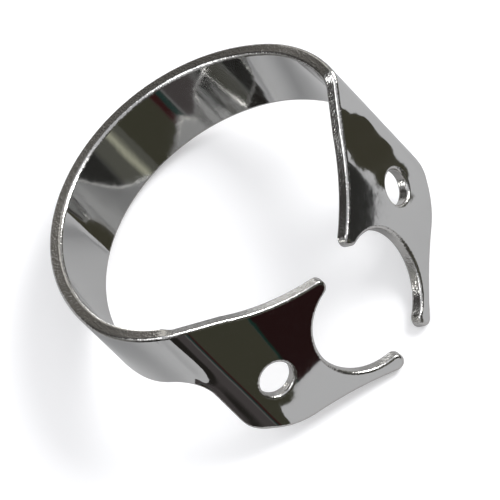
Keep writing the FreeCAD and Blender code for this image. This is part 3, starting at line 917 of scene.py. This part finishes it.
    def build(self, sheet: bpy.types.Material, rim: bpy.types.Material) -> bpy.types.Object:
        """Make the finished clamp.

        Args:
            sheet: finish of the faces.
            rim: finish of the rims.

        Returns:
            The clamp as one plain mesh.
        """
        blank = self.blank.build()
        modifier = blank.modifiers.new("Bend", "NODES")
        modifier.node_group = self.bend_tree()
        given = {**self.numbers(), "Lie Shift": self.lie_shift, "Sheet Steel": sheet,
                 "Rim Steel": rim}
        for item in modifier.node_group.interface.items_tree:
            if item.in_out == "INPUT" and item.name in given:
                modifier[item.identifier] = given[item.name]
        graph = bpy.context.evaluated_depsgraph_get()
        mesh = bpy.data.meshes.new_from_object(blank.evaluated_get(graph), depsgraph=graph)
        bpy.data.objects.remove(blank)
        mesh.name = "polished_clamp"
        self._smooth(mesh)
        return add_object("polished_clamp", mesh)

    @staticmethod
    def _smooth(mesh: bpy.types.Mesh) -> None:
        """Give a mesh the normals that it carries from its blank.

        Args:
            mesh: the bent mesh.
        """
        mesh.polygons.foreach_set("use_smooth", np.ones(len(mesh.polygons), bool))
        normals = np.zeros(len(mesh.vertices) * 3, np.float32)
        mesh.attributes["bent_normal"].data.foreach_get("vector", normals)
        mesh.normals_split_custom_set_from_vertices(normals.reshape(-1, 3))
        for name in ("bent_normal", "blank_normal", "rim"):
            mesh.attributes.remove(mesh.attributes[name])


@dataclass(frozen=True)
class SteelSurface:
    """What bending, shearing and tumbling leave on the steel, shared by both finishes."""

    fine_factor: float = 6.0
    speck_factor: float = 0.6
    details: Triple = (1.0, 2.0, 3.0)

    def group(self) -> Tree:
        """Shader node group for shallow waves and for fine pits and specks.

        Returns:
            The group, which puts out the height of the waves and a mask of specks.
        """
        come = {"Vector": VECTOR, "Scale": NUMBER, "Fine Share": NUMBER, "Grain Scale": NUMBER}
        make = TreeMaker.group("Steel Surface", "ShaderNodeTree", come,
                               {"Height": NUMBER, "Specks": NUMBER})
        where, scale, share, grain = make.node("NodeGroupInput").outputs[:4]
        finer = make.math("MULTIPLY", scale, self.fine_factor)
        specks = make.math("MULTIPLY", grain, self.speck_factor)
        broad, fine, speck = (
            make.node("ShaderNodeTexNoise", where, fed={"Scale": size, "Detail": detail})
            for size, detail in zip((scale, finer, specks), self.details))
        cells = make.node("ShaderNodeTexVoronoi", where, feature="F1", fed={"Scale": grain})
        make.node("NodeGroupOutput",
                  make.math("MULTIPLY_ADD", fine.outputs[0], share, broad.outputs[0]),
                  make.math("MULTIPLY", cells.outputs["Distance"], speck.outputs[0]))
        return make.tree


@dataclass(frozen=True)
class PolishedSteel:
    """Polished stainless spring steel."""

    name: str
    tint: Triple
    roughness: float
    rough_spread: float
    wave_scale: float
    wave_height: float
    fine_share: float
    grain_scale: float
    grain_height: float

    def material(self, surface: Tree) -> bpy.types.Material:
        """Make the finish.

        Args:
            surface: group for the waves and specks.

        Returns:
            The material.
        """
        made, make = new_material(self.name)
        where = make.node("ShaderNodeTexCoord").outputs["Object"]
        wave, speck = make.node(
            "ShaderNodeGroup", where, self.wave_scale, self.fine_share, self.grain_scale,
            node_tree=surface).outputs
        rough = make.math("MULTIPLY_ADD", speck, self.rough_spread, self.roughness)
        first = make.node("ShaderNodeBump", fed={
            "Strength": 1.0, "Distance": self.wave_height, "Height": wave})
        second = make.node("ShaderNodeBump", fed={
            "Strength": 1.0, "Distance": self.grain_height, "Height": speck,
            "Normal": first.outputs[0]})
        steel = make.tree.nodes["Principled BSDF"].inputs
        for name, source in (("Metallic", 1.0), ("Base Color", (*self.tint, 1.0)),
                             ("Roughness", rough), ("Normal", second.outputs[0])):
            make.feed(steel[name], source)
        return made


FACE_STEEL = PolishedSteel(
    name="polished_face_steel", tint=(0.66, 0.66, 0.65), roughness=0.05, rough_spread=0.06,
    wave_scale=150.0, wave_height=0.00007, fine_share=0.04, grain_scale=3000.0,
    grain_height=0.0000008)
RIM_STEEL = PolishedSteel(
    name="polished_rim_steel", tint=(0.62, 0.61, 0.59), roughness=0.12, rough_spread=0.25,
    wave_scale=900.0, wave_height=0.00001, fine_share=0.3, grain_scale=7000.0,
    grain_height=0.000022)


@dataclass(frozen=True)
class RoomBand:
    """A part of the room that the steel mirrors, between two azimuths and two elevations.

    Azimuth 0 is +Y and 90 is +X; all angles are in degrees.
    """

    azimuths: Pair
    elevations: Pair
    edge: float
    colour: Triple


@dataclass(frozen=True)
class SoftLamp:
    """A soft square lamp that faces the clamp; its power is in watts."""

    name: str
    place: Triple
    size: float
    power: float
    tint: Triple

    def build(self) -> None:
        """Hang the lamp."""
        light = bpy.data.lights.new(self.name, "AREA")
        light.size = self.size
        light.energy = self.power
        light.color = self.tint
        made = add_object(self.name, light)
        made.location = self.place
        made.rotation_mode = "QUATERNION"
        made.rotation_quaternion = (-Vector(self.place)).to_track_quat("-Z", "Y")


@dataclass
class Studio:
    """Pale table, soft lamps and the room that shows in the steel."""

    table_half: float = 1.5
    table_colour: Triple = (0.86, 0.86, 0.87)
    lift: float = 0.23
    # Grey sheet of painted shade that the steel mirrors in place of the white table; the camera
    # never sees it.
    shade_sheet_corners: tuple[float, float, float, float] = (-0.023, -0.045, 0.045, 0.045)
    shade_sheet_height: float = 0.00001
    painted_shade_colour: Triple = (0.48, 0.48, 0.485)
    ripple: float = 0.10
    ripple_scale: float = 7.0
    ripple_detail: float = 3.0
    sky_span: Pair = (0.5, 0.95)
    sky_colours: tuple[Triple, Triple] = ((0.20, 0.20, 0.19), (0.60, 0.61, 0.64))
    air_colour: Triple = (0.62, 0.62, 0.63)
    lamps: tuple[SoftLamp, ...] = (
        SoftLamp("window_lamp", (0.42, -0.10, 0.42), 0.30, 2.6, (1.0, 1.0, 1.0)),
        SoftLamp("fill_lamp", (-0.35, 0.30, 0.50), 0.40, 1.2, (0.97, 0.98, 1.0)),
    )
    bands: tuple[RoomBand, ...] = (
        RoomBand((95, 178), (-30, 25), 6.0, (0.12, 0.12, 0.105)),
        RoomBand((110, 138), (-14, 12), 3.0, (0.055, 0.052, 0.036)),
        RoomBand((164, 190), (8, 60), 2.0, (0.10, 0.10, 0.085)),
        RoomBand((178, 183), (20, 30), 2.5, (0.40, 0.40, 0.31)),
        RoomBand((136, 165), (-25, 60), 3.0, (0.028, 0.028, 0.026)),
        RoomBand((166, 188), (-20, 7.5), 1.0, (0.020, 0.008, 0.008)),
        RoomBand((189, 218), (-22, 60), 1.5, (0.052, 0.051, 0.035)),
        RoomBand((186.5, 189.5), (-22, 7.5), 1.0, (0.010, 0.032, 0.024)),
        RoomBand((217, 223), (-22, 60), 1.0, (0.040, 0.012, 0.012)),
        RoomBand((222, 226), (-22, 60), 1.0, (0.012, 0.040, 0.034)),
        RoomBand((226, 248), (-30, 60), 4.0, (0.070, 0.062, 0.062)),
        RoomBand((244, 290), (-60, 12), 3.0, (0.020, 0.018, 0.016)),
        RoomBand((0, 15), (-10, 50), 4.0, (0.05, 0.048, 0.042)),
        RoomBand((15, 27), (-10, 50), 4.0, (0.14, 0.13, 0.12)),
        RoomBand((320, 360), (-10, 50), 8.0, (0.04, 0.036, 0.034)),
        RoomBand((30, 56), (3, 32), 4.0, (0.8, 0.78, 0.74)),
        RoomBand((60, 115), (28, 75), 10.0, (1.4, 1.4, 1.45)),
        RoomBand((52, 90), (28, 45), 4.0, (0.24, 0.23, 0.19)),
    )

    def table(self) -> None:
        """Make the pale table that the clamp lies on."""
        half = self.table_half
        table = self._sheet("table", (-half, -half, half, half), 0.0)
        # The steel mirrors the grey sheet of painted shade and the room, not the table.
        table.visible_glossy = False
        made, make = new_material("pale_table")
        nodes = make.tree.nodes
        nodes.remove(nodes["Principled BSDF"])
        matt = make.node("ShaderNodeBsdfDiffuse", (*self.table_colour, 1.0))
        seen = make.node("ShaderNodeLightPath").outputs["Is Camera Ray"]
        glow = make.node("ShaderNodeEmission", WHITE, make.math("MULTIPLY", seen, self.lift))
        both = make.node("ShaderNodeAddShader", matt.outputs[0], glow.outputs[0])
        make.feed(nodes["Material Output"].inputs["Surface"], both.outputs[0])
        table.data.materials.append(made)

    def paper(self) -> None:
        """Lay the small grey sheet that only the steel mirrors: painted shade, the table shown
        darker in the steel's reflection.
        """
        paper = self._sheet("paper", self.shade_sheet_corners, self.shade_sheet_height)
        paper.visible_camera = False
        paper.visible_diffuse = False
        paper.visible_shadow = False
        # Its grey is painted shade: the table as the steel mirrors it, darker than it is.
        made, make = new_material("grey_paper")
        matt = make.tree.nodes["Principled BSDF"].inputs
        for name, value in (("Base Color", (*self.painted_shade_colour, 1.0)), ("Roughness", 1.0),
                            ("Specular IOR Level", 0.0)):
            make.feed(matt[name], value)
        paper.data.materials.append(made)

    @staticmethod
    def _sheet(name: str, corners: tuple[float, float, float, float], height: float
               ) -> bpy.types.Object:
        """Make a rectangle that lies flat.

        Args:
            name: its name.
            corners: its least x and y and its greatest x and y.
            height: how high it lies.

        Returns:
            The rectangle.
        """
        west, south, east, north = corners
        mesh = bpy.data.meshes.new(name)
        outline = ((west, south), (east, south), (east, north), (west, north))
        mesh.from_pydata([(x, y, height) for x, y in outline], [], [(0, 1, 2, 3)])
        made = add_object(name, mesh)
        return made

    @staticmethod
    def band_group() -> Tree:
        """Node group that marks the directions between two azimuths and two elevations.

        Returns:
            The group, which puts out a soft-edged mask.
        """
        names = ("Azimuth", "Elevation", "West", "East", "Low", "High", "Edge")
        make = TreeMaker.group("Room Band", "ShaderNodeTree", dict.fromkeys(names, NUMBER),
                               {"Mask": NUMBER})
        come = make.node("NodeGroupInput").outputs
        below, mask = make.math("MULTIPLY", come["Edge"], -1.0), 1.0
        for value, start, end in (("Azimuth", "West", "East"), ("Elevation", "Low", "High")):
            for limit, sign in ((start, 1.0), (end, -1.0)):
                past = make.math("MULTIPLY", make.math("SUBTRACT", come[value], come[limit]), sign)
                step = make.node("ShaderNodeMapRange", past, interpolation_type="SMOOTHSTEP",
                                 fed={"From Min": below, "From Max": come["Edge"]})
                mask = make.math("MULTIPLY", mask, step.outputs[0])
        make.node("NodeGroupOutput", mask)
        return make.tree

    def room(self) -> None:
        """Make the world: white behind the table, and the room for the steel to mirror."""
        world = bpy.data.worlds.new("room")
        world.use_nodes = True
        make = TreeMaker(world.node_tree)
        straight = make.node("ShaderNodeTexCoord").outputs["Generated"]
        ripple = make.node("ShaderNodeTexNoise", straight, fed={
            "Scale": self.ripple_scale, "Detail": self.ripple_detail})
        bent = make.node("ShaderNodeVectorMath", ripple.outputs["Color"], (0.5, 0.5, 0.5),
                         operation="SUBTRACT").outputs[0]
        toward = make.node("ShaderNodeVectorMath", bent, (self.ripple,) * 3, straight,
                           operation="MULTIPLY_ADD").outputs[0]
        east, north, up = make.node("ShaderNodeSeparateXYZ", toward).outputs
        azimuth = make.math("FLOORED_MODULO", make.math(
            "DEGREES", make.math("ARCTAN2", east, north)), 360.0)
        elevation = make.math("DEGREES", make.math("ARCSINE", up))
        ramp = make.node("ShaderNodeValToRGB", make.math("MULTIPLY_ADD", up, 0.5, 0.5))
        stops = zip(ramp.color_ramp.elements, self.sky_span, self.sky_colours)
        for stop, position, shade in stops:
            stop.position, stop.color = position, (*shade, 1.0)
        colour = ramp.outputs[0]
        group = self.band_group()
        for band in self.bands:
            mark = make.node("ShaderNodeGroup", azimuth, elevation, *band.azimuths,
                             *band.elevations, band.edge, node_tree=group)
            colour = self._mix(make, mark.outputs[0], colour, (*band.colour, 1.0))
        path = make.node("ShaderNodeLightPath").outputs
        plain = self._mix(make, path["Is Glossy Ray"], (*self.air_colour, 1.0), colour)
        shown = self._mix(make, path["Is Camera Ray"], plain, WHITE)
        make.feed(make.tree.nodes["Background"].inputs["Color"], shown)
        bpy.context.scene.world = world

    @staticmethod
    def _mix(make: TreeMaker, share: Socket, first: object, second: object) -> Socket:
        """Mix two colours.

        Args:
            make: the tree's maker.
            share: the share of the second colour.
            first: the first colour, or a socket that gives it.
            second: the second one.

        Returns:
            The mixed colour.
        """
        mix = make.node("ShaderNodeMix", data_type="RGBA")
        sockets = {socket.identifier: socket for socket in mix.inputs}
        make.feed(sockets["Factor_Float"], share)
        make.feed(sockets["A_Color"], first)
        make.feed(sockets["B_Color"], second)
        return next(s for s in mix.outputs if s.identifier == "Result_Color")

    def build(self) -> None:
        """Set the table, the room and the lamps."""
        self.table()
        self.paper()
        self.room()
        for lamp in self.lamps:
            lamp.build()


@dataclass(frozen=True)
class PhotoCamera:
    """The camera: a long lens, high over the near left of the clamp and rolled."""

    right: Triple = (0.508, -0.8576, -0.0807)
    back: Triple = (-0.310, -0.269, 0.912)
    aim: Triple = (-0.00152, -0.00156, 0.00667)
    distance: float = 0.30
    field_width: float = 0.03162
    sensor: float = 36.0
    clip: Pair = (0.01, 10.0)

    def build(self) -> None:
        """Make the camera and look through it."""
        right = Vector(self.right).normalized()
        back = Vector(self.back)
        back = (back - back.dot(right) * right).normalized()
        up = back.cross(right)
        data = bpy.data.cameras.new("camera")
        data.sensor_width = self.sensor
        data.lens = self.sensor * self.distance / self.field_width
        data.clip_start, data.clip_end = self.clip
        camera = add_object("camera", data)
        turn = Matrix((right, up, back)).transposed().to_4x4()
        camera.matrix_world = Matrix.Translation(Vector(self.aim) + back * self.distance) @ turn
        bpy.context.scene.camera = camera


def main() -> None:
    """Dress the clamp, set the studio and place the camera."""
    logging.basicConfig(level=logging.INFO, format="%(name)s: %(message)s")
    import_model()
    bpy.context.scene.view_settings.view_transform = "Standard"
    surface = SteelSurface().group()
    clamp = BentClamp().build(FACE_STEEL.material(surface), RIM_STEEL.material(surface))
    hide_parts(NODE)
    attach(clamp, "root")
    LOG.info("%s: %d faces", clamp.name, len(clamp.data.polygons))
    Studio().build()
    PhotoCamera().build()


if __name__ == "__main__":
    main()
